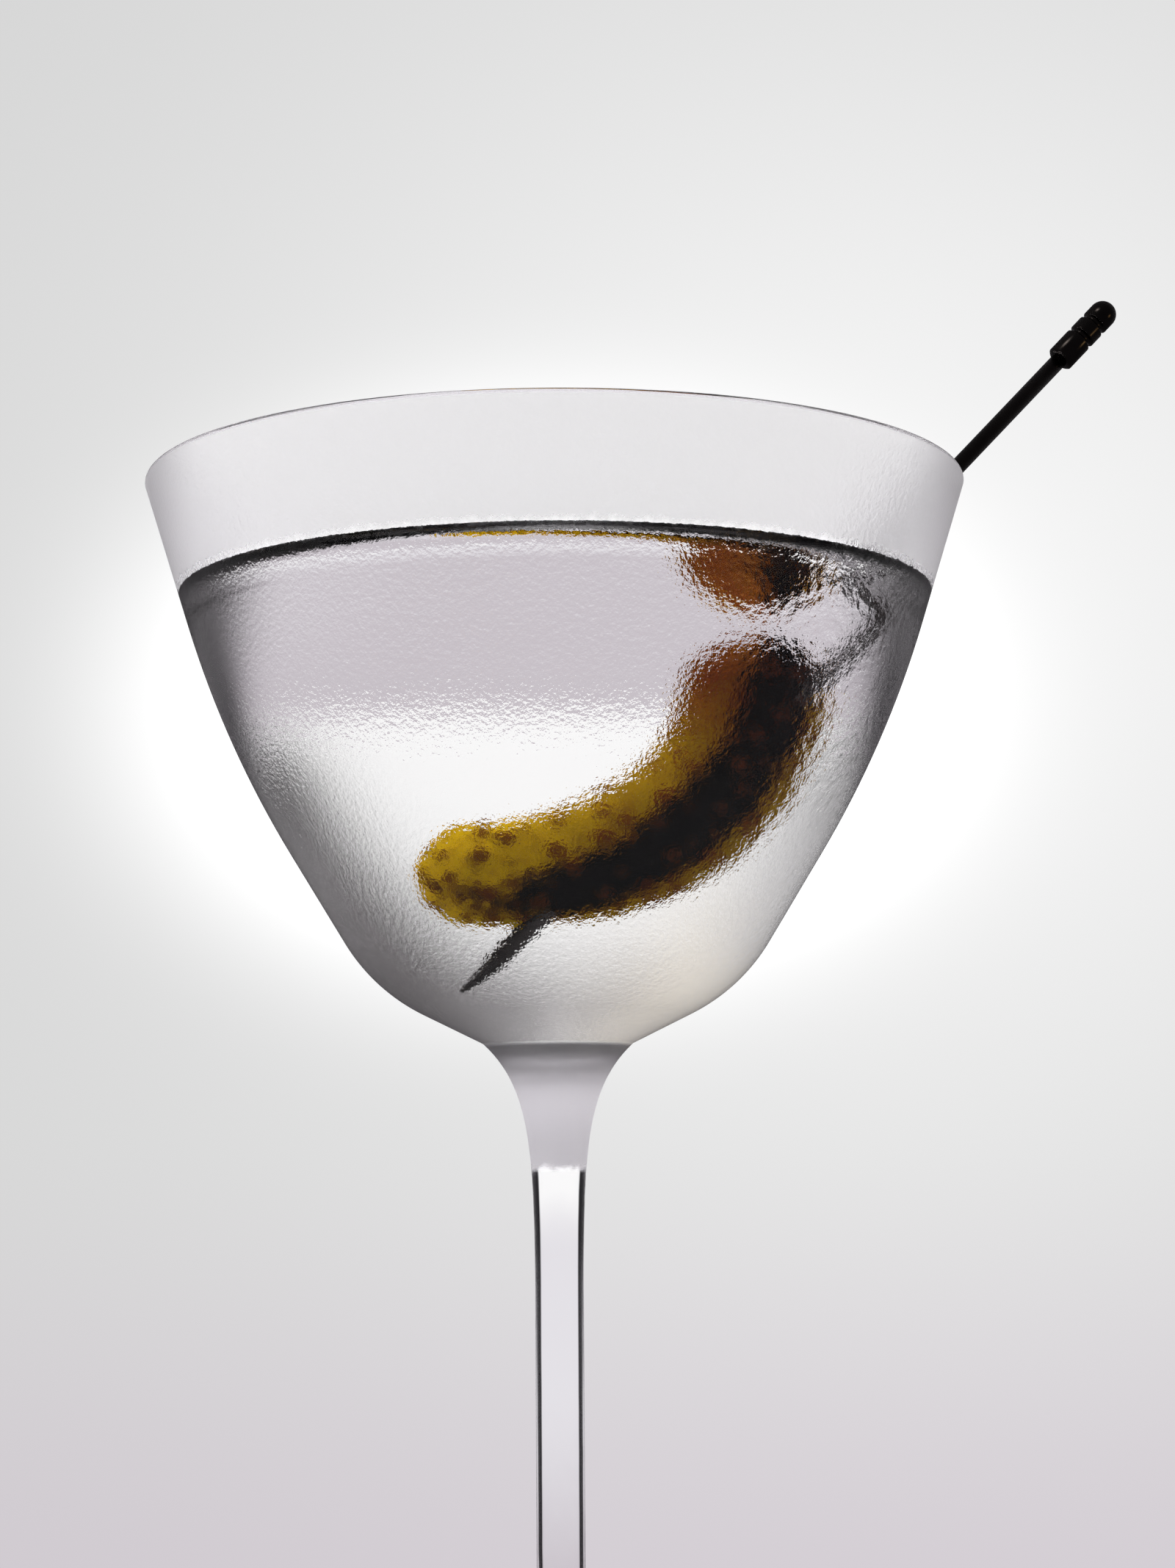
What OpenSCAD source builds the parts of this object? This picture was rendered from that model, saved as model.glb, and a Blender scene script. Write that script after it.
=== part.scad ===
// A martini in a stemmed cocktail glass, with a gherkin on a metal pick.
// The origin is the centre of the foot's underside. +Z is up the stem, and the pick leans towards +X.

/* [Bowl] */
// Height of the whole glass, from the table to the rim
glass_h = 176; // [150:1:215]
// Outer diameter at the rim
rim_d = 105; // [88:1:126]
// Outer diameter where the straight upper wall and the lower wall would meet
shoulder_d = 84.4; // [78:0.2:90]
// Outer diameter where the lower wall and the floor would meet
heel_d = 46.6; // [40:0.2:56]
// Outer diameter of the crease between the bowl and the neck
crease_d = 19; // [16:0.2:22]
// Height of the upper wall, from the rim to the shoulder
upper_h = 33.9; // [28:0.1:40.7]
// Height of the lower wall, from the shoulder to the heel
lower_h = 31; // [26:0.1:37.5]
// Height of the floor, from the heel to the crease
floor_h = 6.8; // [5.8:0.1:8.4]
// Radius that rounds the shoulder
shoulder_r = 130; // [60:1:150]
// Radius that rounds the heel
heel_r = 24; // [12:1:28]
// Thickness of the bowl's wall
wall_t = 1.3; // [1:0.05:1.8]
// Radius that rounds the bottom of the hollow
hollow_r = 16; // [10:1:20]

/* [Stem and foot] */
// Diameter of the stem
stem_d = 6; // [5:0.1:7.5]
// Height over which the neck narrows by two thirds
neck_fall = 6; // [5:0.1:7.2]
// Diameter of the foot
foot_d = 76; // [64:1:92]
// Thickness of the foot at its edge
foot_t = 1.6; // [1.3:0.1:2.5]
// Height at which the foot's slope would reach the stem
foot_rise = 5.5; // [4:0.1:7]
// Radius of the blend between the stem and the foot
foot_blend_r = 15; // [8:1:18]

/* [Drink] */
// Depth of the drink's flat surface below the rim
headspace = 16.3; // [12:0.1:20]
// Height to which the drink climbs the wall
meniscus_h = 2.1; // [1.5:0.1:2.6]
// Distance from the wall over which that climb falls by two thirds
meniscus_fall = 1.8; // [1.4:0.1:2.2]

/* [Pick] */
// Diameter of the shaft
pick_d = 2.1; // [1.7:0.05:2.6]
// Angle of the pick above the horizontal, in degrees
pick_rise_a = 46.1; // [42:0.1:50]
// Angle by which the pick turns away from the radius that it crosses, in degrees
pick_turn_a = 13.3; // [8:0.1:18]
// Place of the pick around the rim, in degrees from +X
pick_place_a = -2.3; // [-12:0.1:12]
// Length of the shaft above the rim, up to the head
pick_above = 22.6; // [18:0.1:30]
// Length of the point
point_l = 7; // [5:0.5:9]
// Length of the head
head_l = 10.6; // [9:0.1:13]
// Diameter of the head
head_d = 3.6; // [3:0.1:4.4]
// Depth of the two grooves round the head
groove_depth = 0.45; // [0.3:0.05:0.6]
// Width of each groove
groove_w = 0.9; // [0.6:0.05:1]
// Distance from the head's base to the lower groove
groove_low = 4.2; // [3.5:0.1:4.5]
// Distance between the two grooves
groove_apart = 2.6; // [2:0.1:3]

/* [Gherkin] */
// Length from tip to tip, along the pick
gherkin_l = 50.5; // [42:0.5:60]
// Greatest diameter
gherkin_d = 15.4; // [12.8:0.1:18.5]
// Share of that diameter at the lower end
gherkin_taper = 0.87; // [0.75:0.01:1]
// Distance from the pick's point to the lower end, along the pick
gherkin_lift = 7.3; // [4:0.1:12]
// Height of the warts
wart_h = 0.5; // [0:0.05:0.8]

/* [Hidden] */
$fn = 96;

arc_step_a = 3;         // turn between two points of an arc
neck_n = 20;            // steps down the neck's curve
neck_reach = 5;         // length of the neck's curve, in falls
meniscus_n = 12;        // steps of the meniscus
meniscus_reach = 4.5;   // length of the meniscus, in falls
joint_gap = 0.05;       // clearance of the pick from what it rests on
search_step = 0.1;      // step of the search for the pick's point
point_tip_d = 0.5;      // diameter of the point's blunt tip
gherkin_sides = 24;     // points round a ring of the gherkin
gherkin_rings = 26;     // rings between the two rounded ends
cap_rings = 5;          // rings of a rounded end
wart_every = 5;         // one point in this many is a wart
room_n = 6;             // cones in the hollow that the drink leaves for the gherkin
room_gap = 0.4;         // clearance of that hollow from the warts

// What steers the gherkin's middle line: [across the pick, behind the pick]
lower_end = [8.5, 2];
bend = [-7.9, 3.5];
upper_end = [3.7, 5.2];

bowl_h = upper_h + lower_h + floor_h;
crease_z = glass_h - bowl_h;
lip_h = wall_t / 2;
drink_z = glass_h - headspace;

// --- outlines in the plane of radius and height ---

// The outline's corners from the rim down to the crease, as [radius, height].
rim_p = [rim_d / 2, glass_h - lip_h];
shoulder_p = [shoulder_d / 2, glass_h - upper_h];
heel_p = [heel_d / 2, glass_h - upper_h - lower_h];
crease_p = [crease_d / 2, crease_z];

// The unit vector from a to b, and the normal on its right.
function unit(v) = v / norm(v);
function right_of(v) = [v[1], -v[0]];

// Where the line from p along u meets the line from q along v.
function meet(p, u, q, v) =
    let (w = q - p, t = (w[0] * v[1] - w[1] * v[0]) / (u[0] * v[1] - u[1] * v[0]))
    p + t * u;

// The arc of radius r that rounds the corner at b between a and c.
function round_corner(a, b, c, r) =
    let (u = unit(a - b), v = unit(c - b),
         half_a = acos(u * v) / 2,
         reach = r / tan(half_a),
         centre = b + unit(u + v) * r / sin(half_a),
         from = b + u * reach - centre,
         side = sign(u[0] * v[1] - u[1] * v[0]),
         turn_a = 180 - 2 * half_a,
         n = max(2, ceil(turn_a / arc_step_a)))
    [for (i = [0:n]) let (a = side * -turn_a * i / n)
        centre + [from[0] * cos(a) - from[1] * sin(a), from[0] * sin(a) + from[1] * cos(a)]];

// The directions of the three straight stretches of the wall, downwards.
upper_v = unit(shoulder_p - rim_p);
lower_v = unit(heel_p - shoulder_p);
floor_v = unit(crease_p - heel_p);

// A corner moved inwards by the wall's thickness, and the point where the hollow's floor reaches the axis.
function inward(p, v) = p + wall_t * right_of(v);
in_rim = meet(inward(rim_p, upper_v), upper_v, rim_p, [1, 0]);
in_shoulder = meet(inward(rim_p, upper_v), upper_v, inward(heel_p, lower_v), lower_v);
in_heel = meet(inward(heel_p, lower_v), lower_v, inward(crease_p, floor_v), floor_v);
in_bottom = meet(inward(crease_p, floor_v), floor_v, [0, 0], [0, 1]);
in_mirror = [-in_heel[0], in_heel[1]];

// The bottom of the hollow is half of the arc that rounds the cone's tip.
bottom_arc = round_corner(in_heel, in_bottom, in_mirror, hollow_r);
hollow_z = in_bottom[1] + hollow_r * (1 / abs(floor_v[0]) - 1);
inner_wall = concat(
    [in_rim],
    round_corner(in_rim, in_shoulder, in_heel, shoulder_r - wall_t),
    round_corner(in_shoulder, in_heel, in_bottom, heel_r - wall_t),
    [for (p = bottom_arc) if (p[0] > joint_gap) p],
    [[0, hollow_z]]);

outer_wall = concat(
    round_corner(rim_p, shoulder_p, heel_p, shoulder_r),
    round_corner(shoulder_p, heel_p, crease_p, heel_r),
    [crease_p]);

// The neck's radius falls exponentially from the crease's to the stem's.
neck_curve = [for (i = [1:neck_n]) let (drop = neck_reach * i / neck_n)
    [stem_d / 2 + (crease_d - stem_d) / 2 * exp(-drop), crease_z - neck_fall * drop]];

// The foot's sloping top, its rounded edge, and the edge of its flat underside.
foot_curve = concat(
    round_corner([stem_d / 2, glass_h / 2], [stem_d / 2, foot_rise], [foot_d / 2, foot_t], foot_blend_r),
    round_corner([stem_d / 2, foot_rise], [foot_d / 2, foot_t], [foot_d / 2, 0], foot_t / 2),
    round_corner([foot_d / 2, foot_t], [foot_d / 2, 0], [0, 0], foot_t / 4));

// The lip is half of an ellipse over the wall, from the inner rim to the outer one.
lip_w = (rim_p[0] - in_rim[0]) / 2;
lip_centre = (rim_p + in_rim) / 2;
lip_curve = [for (a = [0:20:180]) lip_centre + [-lip_w * cos(a), lip_h * sin(a)]];

// Radius of the hollow at height z.
function hollow_at(z) = lookup(z, [for (p = inner_wall) [p[1], p[0]]]);

// --- the pick's place ---

// The pick lies on the lip: its own +Z runs up the shaft from the point nearest the lip, and +X away from the bowl.
pick_dir = [cos(pick_rise_a) * cos(pick_place_a + pick_turn_a),
            cos(pick_rise_a) * sin(pick_place_a + pick_turn_a),
            sin(pick_rise_a)];
pick_up = [-sin(pick_rise_a) * cos(pick_place_a + pick_turn_a),
           -sin(pick_rise_a) * sin(pick_place_a + pick_turn_a),
           cos(pick_rise_a)];
pick_back = [-sin(pick_place_a + pick_turn_a), cos(pick_place_a + pick_turn_a), 0];
lip_point = [lip_centre[0] * cos(pick_place_a), lip_centre[0] * sin(pick_place_a), lip_centre[1]];
lip_reach = norm([lip_w * sin(pick_rise_a), lip_h * cos(pick_rise_a)]);
rest_point = lip_point + pick_up * (lip_reach + pick_d / 2 + joint_gap);

// How far the wall is from the pick's axis, down its length: the point stops where it touches.
function wall_room(t) = let (p = rest_point - t * pick_dir) hollow_at(p[2]) - norm([p[0], p[1]]);
pick_below = max([for (t = [rim_d / 3:search_step:rim_d * 1.5]) if (wall_room(t) > pick_d / 2) t]);
pick_tip = rest_point - pick_below * pick_dir;

module on_pick() {
    translate(pick_tip)
        rotate([0, 0, pick_place_a + pick_turn_a])
            rotate([0, 90 - pick_rise_a, 0])
                children();
}

// --- the gherkin's surface, in the pick's own directions from its point ---

function bezier(a, b, c, t) = a * (1 - t) * (1 - t) + 2 * b * t * (1 - t) + c * t * t;
function place(along, side) =
    pick_tip + along * pick_dir + side[0] * pick_up + side[1] * pick_back;

// Radius of the lower end's ball, and how far along the pick the centres of both end balls are.
end_r = gherkin_d / 2 * gherkin_taper;
first_a = gherkin_lift + end_r;
last_a = gherkin_lift + gherkin_l - end_r;
function spine(t) = place(first_a + (last_a - first_a) * t, bezier(lower_end, bend, upper_end, t));
function spine_dir(t) = unit(spine(t + 0.01) - spine(t - 0.01));

// The radius swells from the lower end to the middle and keeps on to the upper end.
function body_r(t) = gherkin_d / 2 * (gherkin_taper + (1 - gherkin_taper) * sin(min(1, 2 * t) * 90));

function wart(i, j) = (7 * i + 3 * j) % wart_every == 0 ? wart_h : 0;
function ring(centre, dir, r, i) =
    let (side = unit(cross(dir, pick_back)), up = cross(side, dir))
    [for (j = [0:gherkin_sides - 1]) let (a = 360 * (j + i % 2 / 2) / gherkin_sides)
        centre + (r + (r > end_r / 2 ? wart(i, j) : 0)) * (cos(a) * side + sin(a) * up)];

// Radius of the room that the drink leaves round the skin, warts included.
function room_r(t) = body_r(t) + wart_h + room_gap;

// Rings of the rounded end at t, from its tip to the body when out is -1, and back to the tip when it is 1.
function cap(t, out, i0) =
    [for (k = [1:cap_rings]) let (
        a = 90 * (out < 0 ? k : cap_rings + 1 - k) / (cap_rings + 1),
        c = spine(t) + out * body_r(t) * cos(a) * spine_dir(t))
        ring(c, spine_dir(t), body_r(t) * sin(a), i0 + k)];

gherkin_skin = concat(
    cap(0, -1, 0),
    [for (k = [0:gherkin_rings]) let (t = k / gherkin_rings)
        ring(spine(t), spine_dir(t), body_r(t), cap_rings + 1 + k)],
    cap(1, 1, cap_rings + 1 + gherkin_rings));

module gherkin_body() {
    n = gherkin_sides;
    m = len(gherkin_skin);
    low_tip = spine(0) - body_r(0) * spine_dir(0);
    high_tip = spine(1) + body_r(1) * spine_dir(1);
    points = concat([for (r = gherkin_skin) each r], [low_tip, high_tip]);
    sides = [for (i = [0:m - 2], j = [0:n - 1]) let (
        a = i * n + j, b = i * n + (j + 1) % n, shift = i % 2)
        each shift == 0
            ? [[a, b, a + n], [b, b + n, a + n]]
            : [[a, b + n, a + n], [a, b, b + n]]];
    ends = [for (j = [0:n - 1]) each [
        [m * n, (j + 1) % n, j],
        [m * n + 1, (m - 1) * n + j, (m - 1) * n + (j + 1) % n]]];
    polyhedron(points, concat(sides, ends), convexity = 4);
}

// --- the pieces ---

// The pick's straight part with its point, which also bores the gherkin and the drink.
module shaft_body() {
    on_pick() {
        cylinder(h = point_l, d1 = point_tip_d, d2 = pick_d);
        translate([0, 0, point_l])
            cylinder(h = pick_below + pick_above - point_l, d = pick_d);
    }
}

// A smooth hollow that clears the gherkin's skin: cones along its middle line, with a ball at each joint.
module gherkin_room() {
    for (k = [0:room_n]) let (t = k / room_n)
        translate(spine(t)) sphere(r = room_r(t) + room_gap);
    for (k = [0:room_n - 1]) let (t = k / room_n, u = (k + 1) / room_n, d = spine(u) - spine(t))
        translate(spine(t))
            rotate([0, 0, atan2(d[1], d[0])])
                rotate([0, acos(d[2] / norm(d)), 0])
                    cylinder(h = norm(d), r1 = room_r(t), r2 = room_r(u));
}

module glass() {
    color("aliceblue", 0.4)
        rotate_extrude(convexity = 6)
            polygon(concat(lip_curve, outer_wall, neck_curve, foot_curve, [[0, 0]],
                [for (i = [len(inner_wall) - 1:-1:1]) inner_wall[i]]));
}

meniscus_l = meniscus_fall * meniscus_reach;
contact_z = drink_z + meniscus_h;
contact_r = hollow_at(contact_z);

// The drink's surface climbs exponentially towards the wall.
drink_top = [for (i = [0:meniscus_n]) let (x = meniscus_l * (1 - i / meniscus_n))
    [contact_r - x, drink_z + meniscus_h * (exp(-x / meniscus_fall) - exp(-meniscus_reach))
        / (1 - exp(-meniscus_reach))]];

module drink() {
    color("whitesmoke", 0.5)
        difference() {
            rotate_extrude(convexity = 6)
                polygon(concat([[0, drink_z]], drink_top,
                    [for (p = inner_wall) if (p[1] < contact_z) p]));
            shaft_body();
            gherkin_room();
        }
}

module gherkin() {
    color("olive")
        difference() {
            gherkin_body();
            shaft_body();
        }
}

module pick_shaft() {
    color("dimgray")
        shaft_body();
}

// One turned groove, with sloping sides, at height z up the head.
function groove(z) = [[head_d / 2, z - groove_w / 2],
                      [head_d / 2 - groove_depth, z - groove_w / 6],
                      [head_d / 2 - groove_depth, z + groove_w / 6],
                      [head_d / 2, z + groove_w / 2]];

// The head is a cylinder with a domed end and two grooves.
module pick_head() {
    dome_r = head_d / 2;
    chamfer = groove_depth / 2;
    color("black")
        on_pick()
            translate([0, 0, pick_below + pick_above])
                rotate_extrude()
                    polygon(concat(
                        [[0, 0], [dome_r - chamfer, 0], [dome_r, chamfer]],
                        groove(groove_low),
                        groove(groove_low + groove_apart),
                        [for (a = [0:10:90]) [dome_r * cos(a), head_l - dome_r + dome_r * sin(a)]]));
}

glass();
drink();
gherkin();
pick_shaft();
pick_head();
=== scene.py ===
"""A clear martini in a chilled stemmed glass, with a bent gherkin on a black metal pick.

Every piece is a closed surface that numpy works out: the glass, the drink and the pick are turned, and
the gherkin is swept along a bent middle line. Lengths are in millimetres and angles in degrees until a
mesh is made. The frame is the CAD model's: the origin is the centre of the foot's underside, +Z runs up
the stem, and the pick leans towards +X.
"""

import logging
import math
from collections.abc import Callable, Sequence
from dataclasses import dataclass, field
from enum import Enum
from functools import cached_property

import bpy
import numpy as np
from mathutils import Matrix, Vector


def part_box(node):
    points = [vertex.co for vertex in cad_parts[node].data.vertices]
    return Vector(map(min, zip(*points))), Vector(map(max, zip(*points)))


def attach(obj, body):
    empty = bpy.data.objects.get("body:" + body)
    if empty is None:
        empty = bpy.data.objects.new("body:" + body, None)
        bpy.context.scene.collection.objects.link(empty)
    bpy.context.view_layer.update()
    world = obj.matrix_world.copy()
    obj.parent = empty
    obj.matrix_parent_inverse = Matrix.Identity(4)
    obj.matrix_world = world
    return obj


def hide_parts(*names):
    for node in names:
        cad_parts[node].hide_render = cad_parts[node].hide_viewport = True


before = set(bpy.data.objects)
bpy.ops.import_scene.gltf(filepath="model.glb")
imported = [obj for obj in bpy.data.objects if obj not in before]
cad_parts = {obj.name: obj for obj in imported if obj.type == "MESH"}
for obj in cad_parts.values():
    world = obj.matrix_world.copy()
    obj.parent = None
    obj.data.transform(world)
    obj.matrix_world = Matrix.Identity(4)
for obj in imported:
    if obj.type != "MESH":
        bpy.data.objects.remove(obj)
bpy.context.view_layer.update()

log = logging.getLogger("martini")
MM = 0.001
BODY = "root"
Array = np.ndarray
Colour = tuple[float, float, float]


class Slot(Enum):
    """The record's material slots."""

    GLASS = "glass"
    DRINK = "drink"
    GHERKIN = "gherkin"
    PICK = "pick_metal"


# --- outlines and surfaces ---


def unit(vector: Array) -> Array:
    """The vector divided by its length, along the last axis."""
    return vector / np.linalg.norm(vector, axis=-1, keepdims=True)


def to_right(direction: Array) -> Array:
    """The normal on the right of a direction in the plane of radius and height."""
    return np.array([direction[1], -direction[0]])


def meet(p: Array, u: Array, q: Array, v: Array) -> Array:
    """Where the line from p along u crosses the line from q along v, by Cramer's rule.

    Args:
        p: A point of the first line.
        u: The first line's direction.
        q: A point of the second line.
        v: The second line's direction.

    Returns:
        The crossing point.
    """
    w = q - p
    return p + u * (w[0] * v[1] - w[1] * v[0]) / (u[0] * v[1] - u[1] * v[0])


def corner_arc(before: Array, corner: Array, after: Array, radius: float, count: int) -> Array:
    """The arc that rounds a corner, touching both of its sides.

    The centre is on the corner's bisector, radius / sin(half the corner's angle) away from it, and the
    arc's ends are radius / tan(half the angle) along each side.

    Args:
        before: A point on the side that comes first.
        corner: The corner.
        after: A point on the side that comes next.
        radius: The arc's radius.
        count: The number of points.

    Returns:
        The arc's points, one to a row.
    """
    to_before, to_after = unit(before - corner), unit(after - corner)
    half = math.acos(float(to_before @ to_after)) / 2
    centre = corner + unit(to_before + to_after) * radius / math.sin(half)
    spoke = corner + to_before * radius / math.tan(half) - centre
    side = np.sign(to_before[0] * to_after[1] - to_before[1] * to_after[0])
    turn = -side * (math.pi - 2 * half) * np.linspace(0, 1, count)
    return centre + np.stack([spoke[0] * np.cos(turn) - spoke[1] * np.sin(turn),
                              spoke[0] * np.sin(turn) + spoke[1] * np.cos(turn)], axis=1)


def turned(outline: Array, sides: int) -> Array:
    """An outline turned about +Z: ring i, side j is at (r_i cos a_j, r_i sin a_j, z_i).

    Args:
        outline: Radius and height of each ring.
        sides: The number of points round a ring.

    Returns:
        An array of rings by sides by 3.
    """
    angle = np.linspace(0, 2 * math.pi, sides, endpoint=False)
    radius, height = outline[:, :1], outline[:, 1:]
    return np.stack([radius * np.cos(angle), radius * np.sin(angle), height + 0 * angle], axis=2)


def closed_skin(name: str, rings: Array, first: Array, last: Array,
                paint: dict[str, Array] | None = None) -> bpy.types.Object:
    """A closed surface of rings, with a pole at each end.

    Each cell of the grid is a quad, wrapped round the ring, and each pole closes its ring with a fan. The
    rings turn anticlockwise seen against the direction in which they follow each other, so that the faces
    look outwards.

    Args:
        name: The piece's name.
        rings: Points as an array of rings by sides by 3, in millimetres.
        first: The pole before the first ring.
        last: The pole after the last ring.
        paint: Named values for each point of the rings, kept as attributes of the mesh.

    Returns:
        The piece, at the origin.
    """
    count, sides = rings.shape[:2]
    index = np.arange(count * sides).reshape(count, sides)
    ahead = np.roll(index, -1, axis=1)
    quads = np.stack([index[:-1], ahead[:-1], ahead[1:], index[1:]], axis=2).reshape(-1, 4)
    low = np.stack([np.full(sides, count * sides), ahead[0], index[0]], axis=1)
    high = np.stack([index[-1], ahead[-1], np.full(sides, count * sides + 1)], axis=1)
    points = np.vstack([rings.reshape(-1, 3), first, last]) * MM
    mesh = bpy.data.meshes.new(name)
    mesh.from_pydata(points.tolist(), [], quads.tolist() + low.tolist() + high.tolist())
    mesh.polygons.foreach_set("use_smooth", np.ones(len(mesh.polygons), bool))
    for key, values in (paint or {}).items():
        layer = mesh.attributes.new(key, "FLOAT", "POINT")
        layer.data.foreach_set("value", np.append(values.ravel(), [values[0].mean(), values[-1].mean()]))
    mesh.update()
    piece = bpy.data.objects.new(name, mesh)
    bpy.context.scene.collection.objects.link(piece)
    return piece


def turned_skin(name: str, outline: Array, sides: int,
                paint: dict[str, Array] | None = None) -> bpy.types.Object:
    """A turned solid, from an outline that starts and ends on the axis.

    Args:
        name: The piece's name.
        outline: Radius and height of each point, from the lowest point of the axis outwards.
        sides: The number of points round a ring.
        paint: Named values for each ring.

    Returns:
        The piece.
    """
    poles = [np.array([0, 0, outline[end, 1]]) for end in (0, -1)]
    spread = {key: np.repeat(values[1:-1, None], sides, axis=1) for key, values in (paint or {}).items()}
    return closed_skin(name, turned(outline[1:-1], sides), poles[0], poles[1], spread)


# --- shader nodes ---


class Wire:
    """An output socket that takes part in arithmetic: each operator adds the Math node that does it."""

    def __init__(self, graph: "Graph", socket: bpy.types.NodeSocket) -> None:
        """Wraps a socket of a graph."""
        self.graph = graph
        self.socket = socket

    def math(self, operation: str, *others: "Wire | float") -> "Wire":
        """The result of a Math node on this value and others."""
        inputs = dict(enumerate([self, *others]))
        return self.graph.add("ShaderNodeMath", {"operation": operation}, inputs)

    def __add__(self, other: "Wire | float") -> "Wire":
        """Sum."""
        return self.math("ADD", other)

    __radd__ = __add__

    def __sub__(self, other: "Wire | float") -> "Wire":
        """Difference."""
        return self.math("SUBTRACT", other)

    def __rsub__(self, other: float) -> "Wire":
        """Difference from a number."""
        return self.math("MULTIPLY", -1.0) + other

    def __mul__(self, other: "Wire | float") -> "Wire":
        """Product."""
        return self.math("MULTIPLY", other)

    __rmul__ = __mul__

    def rise(self, low: float, high: float) -> "Wire":
        """A smooth step from 0 at low to 1 at high. It falls instead if high is below low."""
        inputs = {"Value": self, "From Min": low, "From Max": high}
        return self.graph.add("ShaderNodeMapRange", {"interpolation_type": "SMOOTHSTEP"}, inputs)

    def between(self, start: float, low: float, high: float, end: float) -> "Wire":
        """1 from low to high, with a smooth step down to 0 at start and at end."""
        return self.rise(start, low) * self.rise(end, high)

    def bell(self, centre: float, width: float) -> "Wire":
        """A bell curve: exp(-((value - centre) / width) squared)."""
        away = (self - centre) * (1 / width)
        return (away * away * -1.0).math("EXPONENT")


class Graph:
    """The nodes of one material or of the world."""

    def __init__(self, tree: bpy.types.NodeTree) -> None:
        """Empties the tree."""
        self.tree = tree
        tree.nodes.clear()

    def add(self, kind: str, settings: dict | None = None, inputs: dict | None = None,
            output: str | int = 0) -> Wire:
        """Adds a node.

        Args:
            kind: The node's type.
            settings: Its properties, set first.
            inputs: Values or wires for its sockets, by name or number.
            output: The socket that the wire comes from.

        Returns:
            The wire from that socket.
        """
        node = self.tree.nodes.new(kind)
        for key, value in (settings or {}).items():
            setattr(node, key, value)
        for key, value in (inputs or {}).items():
            if isinstance(value, Wire):
                self.tree.links.new(value.socket, node.inputs[key])
            else:
                node.inputs[key].default_value = value
        return Wire(self, node.outputs[output] if len(node.outputs) else None)

    def blend(self, factor: Wire | float, start: Wire | Colour, end: Wire | Colour) -> Wire:
        """A colour mixed between two others."""
        stops = [colour if isinstance(colour, Wire) else (*colour, 1.0) for colour in (start, end)]
        inputs = {0: factor, 6: stops[0], 7: stops[1]}
        return self.add("ShaderNodeMix", {"data_type": "RGBA"}, inputs, 2)

    def mix(self, factor: Wire | float, first: Wire, second: Wire) -> Wire:
        """A shader mixed from two: the first alone at factor 0, the second alone at 1."""
        return self.add("ShaderNodeMixShader", None, {0: factor, 1: first, 2: second})

    def place(self, scale: Sequence[float] = (1, 1, 1)) -> Wire:
        """The piece's own coordinates in millimetres, stretched along each axis."""
        where = self.add("ShaderNodeTexCoord", output="Object")
        inputs = {"Vector": where, "Scale": tuple(s / MM for s in scale)}
        return self.add("ShaderNodeMapping", None, inputs)

    def noise(self, where: Wire, size: float, detail: float = 2.0, rough: float = 0.5) -> Wire:
        """Cloudy noise with features of a size in millimetres, from 0 to 1."""
        inputs = {"Vector": where, "Scale": 1 / size, "Detail": detail, "Roughness": rough}
        return self.add("ShaderNodeTexNoise", None, inputs, 0)

    def cells(self, where: Wire, size: float) -> Wire:
        """Smoothed distance to the nearest of scattered points, about a size in millimetres apart."""
        return self.add("ShaderNodeTexVoronoi", {"feature": "SMOOTH_F1"},
                        {"Vector": where, "Scale": 1 / size}, "Distance")

    def axis(self, where: Wire, name: str) -> Wire:
        """One coordinate of a position."""
        return self.add("ShaderNodeSeparateXYZ", None, {0: where}, name)

    def painted(self, key: str) -> Wire:
        """A value kept as an attribute of the mesh."""
        return self.add("ShaderNodeAttribute", {"attribute_name": key}, None, "Fac")

    def bump(self, height: Wire, distance: float) -> Wire:
        """The normal over a height from 0 to 1, which stands for a distance in millimetres."""
        return self.add("ShaderNodeBump", None, {"Height": height, "Distance": distance * MM})

    def surface(self, shader: Wire) -> None:
        """Makes a shader the material's surface."""
        self.add("ShaderNodeOutputMaterial", None, {"Surface": shader})


def material(slot: Slot, build: Callable[[Graph], Wire]) -> bpy.types.Material:
    """A node material.

    Args:
        slot: The record's slot, which names the material.
        build: A function that makes the nodes and returns the shader.

    Returns:
        The material.
    """
    made = bpy.data.materials.new(slot.value)
    made.use_nodes = True
    graph = Graph(made.node_tree)
    graph.surface(build(graph))
    return made


def fit_in(piece: bpy.types.Object, finish: bpy.types.Material, slot: Slot, *nodes: str) -> None:
    """Dresses a piece, lets it ride on the object and stand for its CAD nodes, and logs it."""
    piece.data.materials.append(finish)
    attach(piece, BODY)
    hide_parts(*nodes)
    log.info("%s: %d points, %d faces", piece.name, len(piece.data.vertices), len(piece.data.polygons))


# --- finishes ---


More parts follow.
